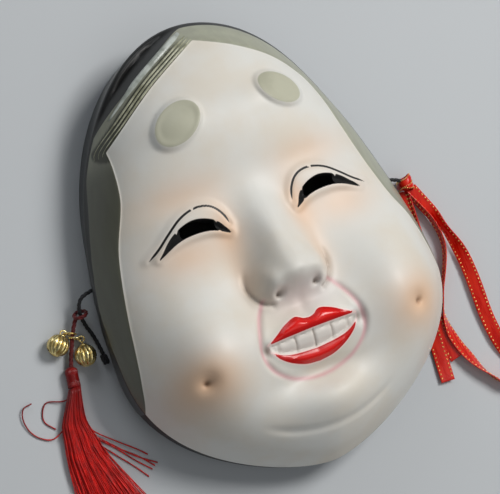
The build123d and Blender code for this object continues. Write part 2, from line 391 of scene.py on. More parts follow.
def cord_material(name, dark, light, sheen=0.3):
    """Twisted yarn: fine fibres, darker patches and a little fuzz of sheen."""
    layers = [
        ((0.00035, 4.0), (0.30, 0.72, 1.0), light),
        ((0.006, 2.0), (0.35, 0.75, 0.35), dark),
    ]
    return layered(name, dark, layers, 0.6, [(0, 0.5, 0.0002)], Sheen_Weight=sheen, Sheen_Roughness=0.4)


def satin_material():
    """Ribbon: long soft streaks, fine cross threads and a strong gloss."""
    layers = [
        ((0.0016, 4.0, (1.0, 0.15, 1.0)), (0.32, 0.70, 1.0), srgb(238, 44, 14)),
        ((0.00022, 2.0, (1.0, 5.0, 1.0)), (0.30, 0.70, 0.22), srgb(128, 8, 6)),
    ]
    return layered("ribbon_satin", srgb(214, 20, 6), layers, (0, 0.3, 0.7, 0.24, 0.36),
                   [(1, 0.35, 0.00008), (0, 0.2, 0.0002)],
                   Sheen_Weight=0.05, Sheen_Roughness=0.35, Anisotropic=0.4)


def thread_material():
    """Silky tassel thread, darker towards the head."""
    silk = Material("tassel_silk")
    along = silk.noise(0.0012, 4.0, stretch=(1.0, 0.2, 1.0))
    colour = silk.mix(silk.between(along, 0.30, 0.72), srgb(168, 6, 4), srgb(238, 26, 14))
    place = silk.node("ShaderNodeSeparateXYZ")
    silk.put(place.inputs[0], silk.node("ShaderNodeTexCoord").outputs["Object"])
    shade = silk.between(place.outputs["Y"], -0.056, -0.030, 0.0, 0.8)
    colour = silk.mix(shade, colour, srgb(112, 4, 6))
    silk.set({"Base Color": colour, "Roughness": 0.34, "Sheen Weight": 0.03, "Anisotropic": 0.5})
    silk.bumps((silk.noise(0.0003), 0.4, 0.0001))
    return silk.material


def metal_material(name, bright, dull, rough_low, rough_high):
    """Polished metal with handling marks and duller hollows."""
    layers = [
        ((0.0022, 5.0), (0.38, 0.68, 1.0), dull),
        ((0.0006, 3.0, (1.0, 1.0, 0.2)),),
    ]
    return layered(name, bright, layers, (0, 0.35, 0.70, rough_low, rough_high),
                   [(1, 0.12, 0.00005), (0, 0.10, 0.0002)], Metallic=1.0)


def gold_material():
    gold = Material("gold_thread")
    glint = gold.noise(0.0008, 2.0)
    colour = gold.mix(glint, srgb(255, 226, 150), srgb(250, 186, 92))
    gold.set({"Base Color": colour, "Metallic": 0.7, "Roughness": 0.30})
    gold.bumps((glint, 0.3, 0.0001))
    return gold.material


# ---- the mask's shape, as in the CAD model apart from a softer nose

HALF_WIDTH = 75.5
TOP_HALF = 134.0
BOTTOM_HALF = 66.0
CHEEK_Y = -34.0
WALL = 5.0
WIDE_LEVEL = 12.0
TUCK = 6.5
TUCK_Y = -25.0
TUCK_REACH = 50.0
CROWN = 47.0
FOREHEAD_RISE = 14.0
NOSE_RISE = 16.8
CHIN_POINT = 0.35
SHOULDER = 0.95
SHOULDER_SLOPE = 3.8
CORD_HOLE_Y = 6.4
CORD_HOLE_Z = 11.0
CORD_HOLE_R = 2.0
BACK_CARVING = 0.75     # share of the front's relief that the hollow's ceiling follows
FACE_SWELLINGS = [      # height, centre and spread, on both sides of the middle
    (14.0, 45.0, -40.0, 21.0, 26.0),    # cheek
    (8.5, 0.0, -41.0, 24.0, 14.0),      # mouth
    (7.0, 0.0, -75.0, 19.0, 11.0),      # chin
    (-3.5, 0.0, -63.0, 17.0, 5.0),      # dip under the lower lip
    (2.5, 31.0, 17.0, 19.0, 9.0),       # eyelid
    (2.0, 22.5, 57.0, 12.0, 7.5),       # brow
    (-3.0, 50.0, -49.0, 4.0, 4.0),      # dimple
]


def gauge(x, y, inset=0.0):
    """0 at the cheek line's middle and 1 on the egg-shaped outline."""
    side = np.abs(x)
    rise = y - CHEEK_Y
    reach = np.maximum(np.hypot(side, rise), 1e-6)
    half = np.where(rise > 0, TOP_HALF, BOTTOM_HALF) - inset
    power = 2.0 + CHIN_POINT * np.minimum(rise, 0.0) / reach
    return ((side / (HALF_WIDTH - inset)) ** power + (np.abs(rise) / half) ** power) ** (1.0 / power)


def edge_height(y):
    return 10.0 + 8.0 * bump(0.0, y, 0.0, -40.0, 1.0, 32.0) + 12.0 * soft_step(45.0, 95.0, y)


def dome(level, y):
    inner = np.minimum(level, SHOULDER)
    power = 3.5 + 1.5 * soft_step(30.0, -30.0, y)
    return (1.0 - inner ** power) ** 0.65 - SHOULDER_SLOPE * np.maximum(0.0, level - SHOULDER)


def nose(x, y):
    """A soft bridge that widens to a round tip, with a wing each side."""
    bridge = soft_step(34.0, -15.0, y) ** 1.25 * soft_step(-33.0, -17.5, y)
    width = 8.6 + 3.0 * soft_step(20.0, -12.0, y)
    ridge = np.exp(-np.abs(x / width) ** (2.0 + 0.6 * soft_step(0.0, -14.0, y)))
    wings = bump(np.abs(x), y, 11.8, -19.5, 5.0, 7.4)
    return NOSE_RISE * bridge * ridge + 7.4 * wings + 3.0 * bump(x, y, 0.0, -17.5, 8.0, 7.0)


def relief(x, y):
    rise = swellings(np.abs(x), y, FACE_SWELLINGS) + nose(x, y)
    return rise * (1.0 - np.minimum(gauge(x, y), 1.0) ** 6)


def crown(y):
    return CROWN + FOREHEAD_RISE * soft_step(12.0, 62.0, y)


def wall_top(y):
    """Where the dome meets the side wall."""
    low = edge_height(y)
    return low + (crown(y) - low) * dome(1.0, y)


def face_height(x, y, inset=0.0, carving=1.0):
    low = edge_height(y) - 0.2 * inset
    return low + (crown(y) - inset - low) * dome(gauge(x, y, inset), y) + carving * relief(x, y)


# ---- drawn features, on the viewer's right half

EYE_UPPER = through([(15.8, 6.3), (20.5, 13.2), (29.5, 16.4), (39.0, 13.4), (47.4, 6.0)])
EYE_LOWER = through([(47.4, 6.0), (38.5, 9.8), (31.0, 10.8), (23.0, 9.8), (15.8, 6.3)])
EYE = np.vstack([EYE_UPPER, EYE_LOWER[1:-1]])
HOLE_INNER = 20.6       # the eye is cut through between these, and painted black beyond them
HOLE_OUTER = 36.9
LID_LINE = through([(14.6, 9.8), (16.2, 14.8), (19.2, 18.8), (23.2, 20.8), (28.5, 20.9), (34.5, 18.8),
                    (40.6, 14.6), (46.0, 10.4), (51.5, 7.0)])
LID_GAP = (0.402, 0.424)
UPPER_LIP = through([(0.0, -38.7), (2.4, -38.2), (5.8, -36.5), (11.0, -38.2), (16.0, -41.2),
                     (20.6, -43.8)])
UPPER_LIP_LOW = through([(20.6, -43.7), (12.0, -43.4), (0.0, -43.2)])
LOWER_LIP_HIGH = through([(0.0, -51.9), (9.0, -51.2), (15.0, -49.9), (19.9, -47.0)])
LOWER_LIP = through([(19.9, -47.0), (17.5, -50.5), (12.8, -54.0), (6.5, -56.6), (0.0, -57.4)])
MOUTH_FOLD = through([(15.5, -26.0), (20.0, -33.0), (23.4, -42.0), (23.6, -49.0), (20.5, -55.0),
                      (14.0, -60.0), (6.0, -62.6), (0.0, -63.2)])
WING_CREASE = through([(17.0, -9.5), (18.8, -15.0), (18.4, -21.0), (15.6, -26.2), (11.8, -28.4)])
HAIRLINE_LEFT = through([(3.0, 90.0), (-18.3, 78.6), (-29.8, 71.3), (-48.6, 57.6)], steps=6)
TEMPLE_LEFT = through([(-48.6, 57.6), (-49.2, 50.1), (-51.2, 38.0), (-53.6, 30.4), (-60.4, 13.7),
                       (-66.8, -12.0), (-70.8, -37.0), (-72.4, -52.0), (-76.0, -70.0),
                       (-70.0, -120.0)], steps=6)
HAIRLINE_RIGHT = through([(3.0, 90.0), (8.0, 87.6), (20.4, 81.4), (35.0, 72.4), (45.6, 61.0),
                          (50.2, 50.0), (52.6, 38.0), (55.6, 26.0), (59.0, 12.0), (63.0, -2.0),
                          (70.6, -16.0), (74.6, -36.0), (77.0, -56.0), (70.0, -120.0)], steps=6)
BROWS = [               # centre, half length, half height; brushed by hand, so the two differ
    (-20.8, 56.8, 11.6, 8.0),
    (28.2, 57.4, 10.6, 7.2),
]
BROW_LEAN = radians(-33.0)
TOOTH_EDGES = (0.0, 8.6, 16.2)
RIDGE_LEFT = through([(12.0, 99.5), (-0.8, 97.0), (-23.8, 83.4), (-41.9, 72.1), (-52.2, 62.8),
                      (-57.1, 52.9), (-62.8, 36.4), (-69.7, 13.9), (-74.6, -8.0),
                      (-78.0, -24.0)], steps=6)
COMB_STRANDS = [        # distance from the hairline, half width and half height of each combed strand
    (0.70, 0.55, 0.55),
    (2.10, 0.55, 0.65),
    (3.50, 0.55, 0.75),
    (5.90, 1.75, 0.95),
]
COMB_REACH = 24         # how many of the temple line's points the combed hair follows
COMB_SINK = 0.25        # how deep the strands' middle lies in the hair
STRAND_END = 0.50       # share of the hairline's points where the strands sink into the hair
BEVEL_END = 0.40
FINE_SWELLINGS = [      # as FACE_SWELLINGS
    (-0.8, 32.0, 26.0, 15.0, 6.0),      # hollow over the eye
    (-2.2, 22.0, -46.0, 2.0, 3.0),      # mouth's corner
    (-0.9, 0.0, -32.5, 2.4, 4.0),       # groove over the lip
    (-1.6, 0.0, -61.0, 13.0, 2.6),      # crease under the lip
    (-4.0, 8.6, -25.4, 1.9, 1.5),       # nostril
    (0.8, 11.6, -26.0, 1.6, 2.2),       # nostril's wing
    (-1.9, 50.0, -49.0, 1.5, 1.2),      # dimple
]
BLUSH = [
    (0.78, 50.0, -49.0, 14.0, 12.0),
    (0.50, 36.0, 3.0, 16.0, 9.0),
    (0.60, 16.5, 9.0, 6.0, 12.0),
    (0.40, 30.0, 28.0, 18.0, 8.0),
    (0.35, 18.0, -14.0, 5.0, 12.0),
]
# Painted shade in the dimples, nostrils and mouth corners: strength, centre and spread
PIT_SHADES = [
    (0.75, 50.0, -49.0, 1.5, 1.1),
    (0.8, 8.6, -25.4, 1.5, 1.1),
    (0.7, 21.6, -45.8, 1.2, 2.0),
]


def mirrored(*half_lines):
    """Lines that run from the middle line out and back to it, made a whole outline."""
    half = np.vstack(half_lines)
    return np.vstack([half, half[::-1][1:-1] * (-1.0, 1.0)])


def features(x, y):
    """Distances and tints of everything drawn on the front, for places in millimetres."""
    side = np.abs(x)
    line, share = distance_along(LID_LINE, side, y)
    taper = 0.50 * np.minimum(1.0, np.minimum(share, 1.0 - share) / 0.10 + 0.25)
    gap = (share > LID_GAP[0]) & (share < LID_GAP[1])
    fold, fold_share = distance_along(MOUTH_FOLD, side, y)
    crease, crease_share = distance_along(WING_CREASE, side, y)
    lips = [mirrored(UPPER_LIP, UPPER_LIP_LOW[1:]), mirrored(LOWER_LIP_HIGH, LOWER_LIP[1:])]
    face = np.vstack([HAIRLINE_RIGHT, TEMPLE_LEFT[::-1], HAIRLINE_LEFT[::-1][1:-1]])
    beyond = np.vstack([RIDGE_LEFT, [(-120.0, -24.0), (-120.0, 130.0), (12.0, 130.0)]])
    return {
        "eye": depth_inside(EYE, side, y),
        "low_lid": distance_along(EYE_LOWER, side, y)[0],
        "lid_fold": line,
        "lid_line": np.where(gap, -1.0, taper - line),
        "lid_area": depth_inside(np.vstack([LID_LINE, EYE_LOWER[::4]]), side, y),
        "lip": np.maximum(*[depth_inside(lip, x, y) for lip in lips]),
        "tooth": depth_inside(mirrored(UPPER_LIP_LOW[::-1], LOWER_LIP_HIGH[::-1]), x, y),
        "mouth_fold": fold,
        "fold_share": fold_share,
        "wing_crease": hump(crease, 1.25) * soft_step(0.0, 0.5, crease_share),
        "brow": np.maximum(*[brow_depth(x, y, *brow) for brow in BROWS]),
        "hair": -depth_inside(face, x, y),
        "comb": distance_along(HAIRLINE_LEFT, x, y)[0],
        "beyond_ridge": depth_inside(beyond, x, y),
    }


def brow_depth(x, y, centre_x, centre_y, half_long, half_high):
    """Distance inside one painted brow, which leans down towards its own side."""
    lean = BROW_LEAN if centre_x > 0 else -BROW_LEAN
    turned_x = (x - centre_x) * cos(lean) + (y - centre_y) * sin(lean)
    turned_y = -(x - centre_x) * sin(lean) + (y - centre_y) * cos(lean)
    return (1.0 - np.hypot(turned_x / half_long, turned_y / half_high)) * half_high


def carving(x, y, made):
    """Fine relief in millimetres, on top of the plain face."""
    side = np.abs(x)
    lip, tooth, brow, fold_share = made["lip"], made["tooth"], made["brow"], made["fold_share"]
    rise = 0.7 * soft_step(-0.5, 0.5, made["hair"]) + swellings(side, y, FINE_SWELLINGS)
    room = np.maximum(0.0, face_height(x, y) - wall_top(y) - 0.3)
    rise -= np.minimum(room, 0.75 * np.maximum(0.0, made["beyond_ridge"]))
    rise += 2.0 * soft_step(-1.5, 0.4, brow) - 0.4 * soft_step(0.6, 2.5, brow)
    rise += 1.3 * soft_step(-4.0, 0.4, made["lid_area"]) * soft_step(3.0, 9.0, y)
    rise -= 0.5 * hump(made["lid_fold"], 0.7) + 1.5 * soft_step(0.1, 1.5, made["eye"])
    rise += 0.6 * hump(made["low_lid"] - 1.2, 1.3) * (made["eye"] < 0) * soft_step(12.0, 8.0, y)
    rise += 1.3 * soft_step(0.0, 2.6, lip) + 0.35 * soft_step(-0.35, 0.35, lip)
    rise += 0.35 * hump(lip + 0.6, 0.5) * (tooth < -0.2)
    rise += 0.9 * soft_step(0.6, 3.0, tooth) - 1.5 * soft_step(0.0, 1.4, tooth)
    for edge in TOOTH_EDGES:
        rise -= 0.55 * hump(side - edge, 0.42) * soft_step(0.2, 1.0, tooth)
    fold_fade = soft_step(0.0, 0.15, fold_share) * soft_step(0.80, 0.50, fold_share)
    rise -= 1.1 * hump(made["mouth_fold"], 1.2) * fold_fade + 2.1 * made["wing_crease"]
    rise -= 1.2 * hump(y + 84.5 - 0.009 * side ** 2, 1.6) * soft_step(34.0, 20.0, side)
    return rise


# ---- the mask's mesh

GRID = 240              # cells across the front
BACK_GRID = GRID // 2
CUT_LOW, CUT_HIGH = 20.0, 80.0      # the eye cutters' ends
CUT_INNER, CUT_OUTER = 40.0, 90.0   # the cord-hole cutters' ends
WELD = 0.000002         # metres; what the cuts leave closer together than this is joined
PAINT_LAYERS = ("lip", "tooth", "brow", "lid_line", "eye_paint", "hair", "hair_painted_shade", "blush", "rosy", "pit_shade",
                "wall")
WALL_ROWS = 10
BACK_WALL_ROWS = 7
RIM_ROUND = 0.6         # the rim's two rounded edges


def reach_to_outline(way_x, way_y, inset):
    """How far the outline lies from the frame's origin in each direction."""
    low, high = np.zeros(np.shape(way_x)), np.full(np.shape(way_x), 140.0)
    for _ in range(40):
        middle = (low + high) / 2.0
        outside = gauge(middle * way_x, middle * way_y, inset) > 1.0
        low, high = np.where(outside, low, middle), np.where(outside, middle, high)
    return middle


def boundary_walk(count):
    """Grid indices once round the square's edge, counter-clockwise from the lower left corner."""
    steps = range(count)
    return ([(k, 0) for k in steps] + [(count, k) for k in steps]
            + [(count - k, count) for k in steps] + [(0, count - k) for k in steps])


def spread_over_outline(count, inset):
    """A square grid pulled into a disc and stretched over the outline."""
    steps = np.linspace(-1.0, 1.0, count + 1)
    u, v = np.meshgrid(steps, steps, indexing="ij")
    disc_x, disc_y = u * np.sqrt(1.0 - v ** 2 / 2.0), v * np.sqrt(1.0 - u ** 2 / 2.0)
    radius = np.maximum(np.hypot(disc_x, disc_y), 1e-9)
    reach = reach_to_outline(disc_x / radius, disc_y / radius, inset)
    return disc_x * reach, disc_y * reach


def wall_ring(walk, inset, height):
    """The boundary at one height on the side wall, whose foot is tucked in beside the cheeks."""
    way_x, way_y = walk[:2] / np.hypot(*walk[:2])
    tuck = TUCK * hump(walk[1] - TUCK_Y, TUCK_REACH)
    wide, foot = [reach_to_outline(way_x, way_y, inset + tucked) for tucked in (0.0, tuck)]
    reach = foot + (wide - foot) * np.clip(height / WIDE_LEVEL, 0.0, 1.0)
    return way_x * reach, way_y * reach


def wall_rows(walk, count, inset):
    """Rows down a side wall to its rounded edge: inset, height on the wall, height of the points."""
    shares = np.arange(1, count + 1) / count
    heights = [walk[2] * (1.0 - share) + RIM_ROUND * share for share in shares]
    return [(inset, height, height) for height in heights]


def rim_rows(turns, inset, way):
    """Rows round a rim edge, for wall_ring."""
    return [(inset + way * RIM_ROUND * (1.0 - cos(turn)), 0.0, RIM_ROUND * (1.0 - sin(turn)))
            for turn in np.radians(turns)]


class Shell:
    """Collects the closed mask mesh."""

    def __init__(self):
        self.points = []
        self.faces = []

    def add(self, *place):
        """Adds points and returns their numbers."""
        first = len(self.points)
        self.points.extend(zip(*[np.ravel(axis) for axis in np.broadcast_arrays(*place)]))
        return list(range(first, len(self.points)))

    def sheet(self, x, y, z, count, up):
        """A grid of quads; returns its boundary's point numbers and places."""
        first, side = self.add(x, y, z)[0], count + 1
        for a in (first + i * side + j for i in range(count) for j in range(count)):
            quad = (a, a + side, a + side + 1, a + 1)
            self.faces.append(quad if up else quad[::-1])
        walk = boundary_walk(count)
        return [first + i * side + j for i, j in walk], np.array([(x[k], y[k], z[k]) for k in walk]).T

    def wall(self, ring, walk, rows, outside):
        """Bands of quads from a ring down through rows; returns the last ring."""
        for inset, height, z in rows:
            lower = self.add(*wall_ring(walk, inset, height), z)
            a, b = (ring, lower) if outside else (lower, ring)
            self.faces += zip(a, b, b[1:] + b[:1], a[1:] + a[:1])
            ring = lower
        return ring

    def join(self, fine, coarse):
        """Triangles from a ring to one with half as many points."""
        after = fine[2::2] + fine[:1]
        for a, b, c, d, e in zip(fine[::2], fine[1::2], after, coarse, coarse[1:] + coarse[:1]):
            self.faces += [(a, d, b), (b, d, e), (b, e, c)]


def mask_mesh():
    """The closed mask, and how many of its faces are on the painted outside."""
    shell = Shell()
    x, y = spread_over_outline(GRID, 0.0)
    z = face_height(x, y) + carving(x, y, features(x, y)) * soft_step(1.0, 0.97, gauge(x, y))
    ring, walk = shell.sheet(x, y, z, GRID, up=True)
    rows = wall_rows(walk, WALL_ROWS, 0.0) + rim_rows((30, 60, 90), 0.0, 1)
    outer = shell.wall(ring, walk, rows, outside=True)
    painted = len(shell.faces)
    x, y = spread_over_outline(BACK_GRID, WALL)
    z = face_height(x, y, WALL, BACK_CARVING)
    ring, walk = shell.sheet(x, y, z, BACK_GRID, up=False)
    rows = wall_rows(walk, BACK_WALL_ROWS, WALL) + rim_rows((45, 90), WALL, -1)
    shell.join(outer, shell.wall(ring, walk, rows, outside=False))
    return shell, painted


def prism(outline, low, high):
    """A closed upright prism over an outline, for cutting."""
    return skin([[(px, py, level) for px, py in outline] for level in (low, high)])


def eye_hole_outline():
    """The part of the eye that is cut through, in counter-clockwise order."""
    upper = [p for p in EYE_UPPER if HOLE_INNER < p[0] < HOLE_OUTER]
    lower = [p for p in EYE_LOWER if HOLE_INNER < p[0] < HOLE_OUTER]
    return [tuple(p[:2]) for p in lower[::-1] + upper[::-1]]


def cut_with(target, points, faces):
    """Takes a closed solid out of a mesh piece."""
    tool = mesh_piece("cutter", points, faces, target.data.materials[0])
    made = target.modifiers.new("cut", "BOOLEAN")
    made.operation = "DIFFERENCE"
    made.solver = "EXACT"
    made.object = tool
    depsgraph = bpy.context.evaluated_depsgraph_get()
    mesh = bpy.data.meshes.new_from_object(target.evaluated_get(depsgraph))
    clean = bmesh.new()
    clean.from_mesh(mesh)
    bmesh.ops.dissolve_degenerate(clean, dist=WELD, edges=clean.edges)
    bmesh.ops.remove_doubles(clean, verts=clean.verts, dist=WELD)
    clean.to_mesh(mesh)
    clean.free()
    target.modifiers.clear()
    target.data = mesh
    bpy.data.objects.remove(tool)


def smooth_up_to(piece, degrees):
    """Smooth shading, with edges sharper than this angle kept sharp."""
    piece.data.polygons.foreach_set("use_smooth", [True] * len(piece.data.polygons))
    piece.data.set_sharp_from_angle(angle=radians(degrees))


def rod(radius, start, end, sides=32):
    """A closed cylinder between two points, for cutting."""
    return tube(np.array([start, end], float), radius, sides)


def paint_attributes(mesh):
    """Writes the drawn features on the final mesh, as numbers that the paint reads."""
    place = np.zeros(len(mesh.vertices) * 3)
    mesh.vertices.foreach_get("co", place)
    x, y, z = (place.reshape(-1, 3) / MM).T
    side = np.abs(x)
    drawn = features(x, y)
    notch = 1.1 * hump(side - HOLE_OUTER - 0.5, 0.4) * (y > 12.2)
    glint = 0.9 * hump(side - HOLE_INNER + 0.45, 0.3)
    drawn["eye_paint"] = drawn["eye"] + 0.25 - notch - glint
    drawn["blush"] = np.clip(swellings(side, y, BLUSH), 0.0, 0.9)
    rosy = 0.80 * hump(drawn["mouth_fold"], 0.9) + 0.45 * hump(drawn["tooth"] + 0.1, 0.6)
    drawn["rosy"] = np.clip(rosy + 0.22 * bump(x, y, 0.0, -31.0, 13.0, 7.0), 0.0, 0.85)
    # Painted shade in the dimples, nostrils, mouth corners and nose-wing creases, and in the gaps between the
    # teeth
    pit_shade = swellings(side, y, PIT_SHADES) + 0.35 * drawn["wing_crease"] ** 2
    for edge in TOOTH_EDGES:
        pit_shade += 0.50 * hump(side - edge, 0.40) * soft_step(0.2, 1.0, drawn["tooth"])
    drawn["pit_shade"] = np.clip(pit_shade, 0.0, 0.85)
    # Painted shade in the grooves between the combed strands on the left
    comb_groove_shade = soft_step(5.2, 4.4, drawn["comb"]) * soft_step(4.0, 0.0, x)
    # Painted shade on the hair: the left side darker, most below the temple; the right side darker lower down
    left_painted_shade = np.maximum(0.35 + 0.46 * soft_step(62.0, 46.0, y), comb_groove_shade) * soft_step(2.0, -10.0, x)
    drawn["hair_painted_shade"] = np.where(x < 0, left_painted_shade, 0.35 * soft_step(20.0, -30.0, y))
    wall = edge_height(y) + 5.5 + 1.6 * soft_step(-10.0, 25.0, y) - z
    drawn["wall"] = np.maximum(np.where(gauge(x, y) > 0.9, wall, -5.0), drawn["beyond_ridge"])
    for name in PAINT_LAYERS:
        layer = mesh.attributes.new(name, "FLOAT", "POINT")
        layer.data.foreach_set("value", np.asarray(drawn[name], np.float32))


def beside(line, away):
    """A flat line moved sideways, to its left as it runs."""
    ways = ways_along(line)
    return line + away * np.column_stack([-ways[:, 1], ways[:, 0]])


def comb_strands():
    """Strands of combed hair, raised along the left hairline from the parting to the temple."""
    hairline = np.vstack([HAIRLINE_LEFT[:-1], TEMPLE_LEFT[:COMB_REACH]])
    hairline = through(hairline[::3], steps=6)
    # The strands are painted lighter than the hair as a painted highlight on their ridges; the bevel strand
    # is paler still, a painted highlight along that facet.
    light = hair_paint("hair_lit", srgb(186, 186, 162), srgb(132, 132, 108), 0.32)
    bevel_highlight = hair_paint("hair_bevel_highlight", srgb(190, 196, 190), srgb(140, 146, 138), 0.28)
    parts = Parts()
    turns = circle(10)
    for away, half_wide, half_high in COMB_STRANDS:
        bevel = half_wide > 1.0
        flat = beside(hairline, -away)
        flat = flat[:int(len(flat) * (BEVEL_END if bevel else STRAND_END))]
        steps = np.arange(len(flat))
        fade = np.minimum(1.0, np.minimum((steps + 2) / 4.0, (steps[::-1] + 1) / 12.0))
        z = face_height(*flat.T) + carving(*flat.T, features(*flat.T))
        rings = []
        for (x, y), (way_x, way_y), height, size in zip(flat, ways_along(flat), z, fade):
            out = half_wide * (0.35 + 0.65 * size) * np.cos(turns)
            up = height - COMB_SINK + half_high * size * np.sin(turns)
            rings.append(list(zip(x - way_y * out, y + way_x * out, up)))
        parts.add(*skin(rings), paint=int(bevel))
    strands = parts.piece("hair_strands", light, bevel_highlight)
    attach(strands, "mask")


def make_mask():
    shell, painted = mask_mesh()
    mask = mesh_piece("mask_face", shell.points, shell.faces, painted_face())
    mask.data.materials.append(bare_wood())
    wooden = [int(index >= painted) for index in range(len(shell.faces))]
    mask.data.polygons.foreach_set("material_index", wooden)
    eye = eye_hole_outline()
    cuts = [prism(outline, CUT_LOW, CUT_HIGH) for outline in ([(-px, py) for px, py in eye[::-1]], eye)]
    cuts += [rod(CORD_HOLE_R, *[(side * reach, CORD_HOLE_Y, CORD_HOLE_Z) for reach in (CUT_INNER, CUT_OUTER)])
             for side in (-1, 1)]
    for cut in cuts:
        cut_with(mask, *cut)
    paint_attributes(mask.data)
    smooth_up_to(mask, 50)
    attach(mask, "mask")
    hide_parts("mask_shell")


# ---- lines, tubes and bands

BLACK_CORD = 1.8
RED_CORD = 2.0
EYE_R = 2.7             # of the red eye's middle line
RIBBON_SHOWN = 6.4      # the satin between the outer edges of its gold threads
RIBBON_THICK = 0.32
RIBBON_CUP = 0.25       # how far the band's middle stands out from its edges
BAND_SHARES = (-1.0, -0.9, -0.5, 0.0, 0.5, 0.9, 1.0)
BEAD_SPACING = 1.9
BAND_BEAD_R = 0.52
KNOT_BEAD_R = 0.33
STRANDS = 3
TWIST_PITCH = 3.4       # length of one turn of a twisted cord, in diameters

LEFT_CORD_ROUTE = [
    (-0.0643, 0.0064, 0.011), (-0.0752, 0.0064, 0.011), (-0.0796, 0.0022, 0.0086),
    (-0.0788, -0.0054, 0.0038), (-0.0756, -0.013, 0.0012), (-0.075, -0.021, 0.0012),
]
HANGING_CORD_ROUTE = [
    (-0.0813, -0.002, 0.0056), (-0.0842, -0.0066, 0.0038), (-0.087, -0.0126, 0.0036),
    (-0.0898, -0.0187, 0.0034), (-0.0919, -0.0254, 0.0033), (-0.0926, -0.0324, 0.0032),
]
RIGHT_CORD_ROUTE = [
    (0.0643, 0.0064, 0.011), (0.0756, 0.0064, 0.011), (0.08, 0.0032, 0.009),
]
RIBBON_LOOP_ROUTE = [
    (0.084, -0.001, 0.005), (0.0884, -0.0115, 0.005), (0.0932, -0.023, 0.0045), (0.0966, -0.0365, 0.004),
    (0.097, -0.0515, 0.0038), (0.0962, -0.067, 0.0035), (0.0978, -0.082, 0.0035), (0.1014, -0.0925, 0.0035),
    (0.0986, -0.0994, 0.0035), (0.0928, -0.0996, 0.0035), (0.0876, -0.0926, 0.0035),
    (0.0826, -0.0842, 0.0035), (0.0778, -0.073, 0.0035), (0.0766, -0.0615, 0.0035), (0.0802, -0.05, 0.0035),
    (0.0862, -0.04, 0.0035), (0.0906, -0.0295, 0.0035), (0.0894, -0.0185, 0.0038), (0.086, -0.0095, 0.004),
    (0.0823, -0.0012, 0.004),
]
RIBBON_TAIL_LONG_ROUTE = [
    (0.0794, -0.001, 0.004), (0.0782, -0.0155, 0.0035), (0.0774, -0.0295, 0.0035), (0.0748, -0.0435, 0.003),
    (0.071, -0.057, 0.0026), (0.0692, -0.072, 0.0022), (0.068, -0.088, 0.002),
]
RIBBON_TAIL_SHORT_ROUTE = [
    (0.0809, -0.0012, 0.004), (0.0804, -0.015, 0.0036), (0.0798, -0.029, 0.0035), (0.0774, -0.0425, 0.0035),
    (0.0738, -0.055, 0.0032), (0.0724, -0.0675, 0.003), (0.0758, -0.0798, 0.003),
]


class Parts:
    """Collects points and faces of several closed solids that make one piece."""

    def __init__(self):
        self.points = []
        self.faces = []
        self.paint = []

    def add(self, points, faces, paint=0):
        first = len(self.points)
        self.points.extend([tuple(point) for point in points])
        self.faces.extend([tuple(first + corner for corner in face) for face in faces])
        self.paint.extend([paint] * len(faces))

    def piece(self, name, *materials):
        made = mesh_piece(name, self.points, self.faces, materials[0])
        for material in materials[1:]:
            made.data.materials.append(material)
        made.data.polygons.foreach_set("material_index", self.paint)
        return made


def soft_line(name, route):
    """The smooth line of a route, in millimetres."""
    data = bpy.data.curves.new(name, "CURVE")
    data.dimensions = "3D"
    data.resolution_u = 16
    spline = data.splines.new("NURBS")
    spline.points.add(len(route) - 1)
    for place, point in zip(spline.points, route):
        place.co = (*point, 1.0)
    spline.order_u = 3
    spline.use_endpoint_u = True
    curve = link(name, data)
    mesh = bpy.data.meshes.new_from_object(curve)
    line = np.array([vertex.co for vertex in mesh.vertices]) / MM
    bpy.data.objects.remove(curve)
    bpy.data.meshes.remove(mesh)
    return line


def lengths_along(line):
    return np.concatenate([[0.0], np.cumsum(np.linalg.norm(np.diff(line, axis=0), axis=1))])


def evenly(line, step):
    """The same line with points about a step apart."""
    along = lengths_along(line)
    count = max(2, int(round(along[-1] / step)) + 1)
    wanted = np.linspace(0.0, along[-1], count)
    return np.array([np.interp(wanted, along, line[:, axis]) for axis in range(3)]).T


def ways_along(line, closed=False):
    if closed:
        return unit(np.roll(line, -1, axis=0) - np.roll(line, 1, axis=0))
    return unit(np.gradient(line, axis=0))


def skin(rings, closed=False, poles=None):
    """A closed solid over rings of equal count, each counter-clockwise about the way they run."""
    count, total = len(rings[0]), len(rings)
    points = [point for ring in rings for point in ring]
    faces = []
    for step in range(total if closed else total - 1):
        low, high = step * count, (step + 1) % total * count
        for k in range(count):
            after = (k + 1) % count
            faces.append((low + k, low + after, high + after, high + k))
    first = tuple(range(count))[::-1]
    last = tuple(range((total - 1) * count, total * count))
    if poles is not None:
        for pole, ring in zip(poles, (first, last)):
            faces += [(len(points), corner, ring[(k + 1) % count]) for k, corner in enumerate(ring)]
            points.append(pole)
    elif not closed:
        faces += [first, last]
    return points, faces


def steady_frames(line, closed=False):
    """Two cross directions at each point that turn as little as they can."""
    ways = ways_along(line, closed)
    first = np.cross(ways[0], (0.0, 0.0, 1.0))
    if np.linalg.norm(first) < 0.1:
        first = np.cross(ways[0], (1.0, 0.0, 0.0))
    sides = [unit(first)]
    for way in ways[1:]:
        sides.append(unit(sides[-1] - np.dot(sides[-1], way) * way))
    sides = np.array(sides)
    if closed:
        last = sides[-1] - np.dot(sides[-1], ways[0]) * ways[0]
        gap = np.arctan2(np.dot(np.cross(last, sides[0]), ways[0]), np.dot(last, sides[0]))
        sides = turned(gap * np.arange(len(line)) / len(line), sides, np.cross(ways, sides))
    return sides, np.cross(ways, sides)


def tube(line, radius, sides=8, closed=False):
    """Points and faces of a round tube; the radius may be one number or one for each point."""
    radii = np.broadcast_to(radius, len(line))
    rings = [place + size * turned(circle(sides), side, up)
             for place, side, up, size in zip(line, *steady_frames(line, closed), radii)]
    return skin(rings, closed)


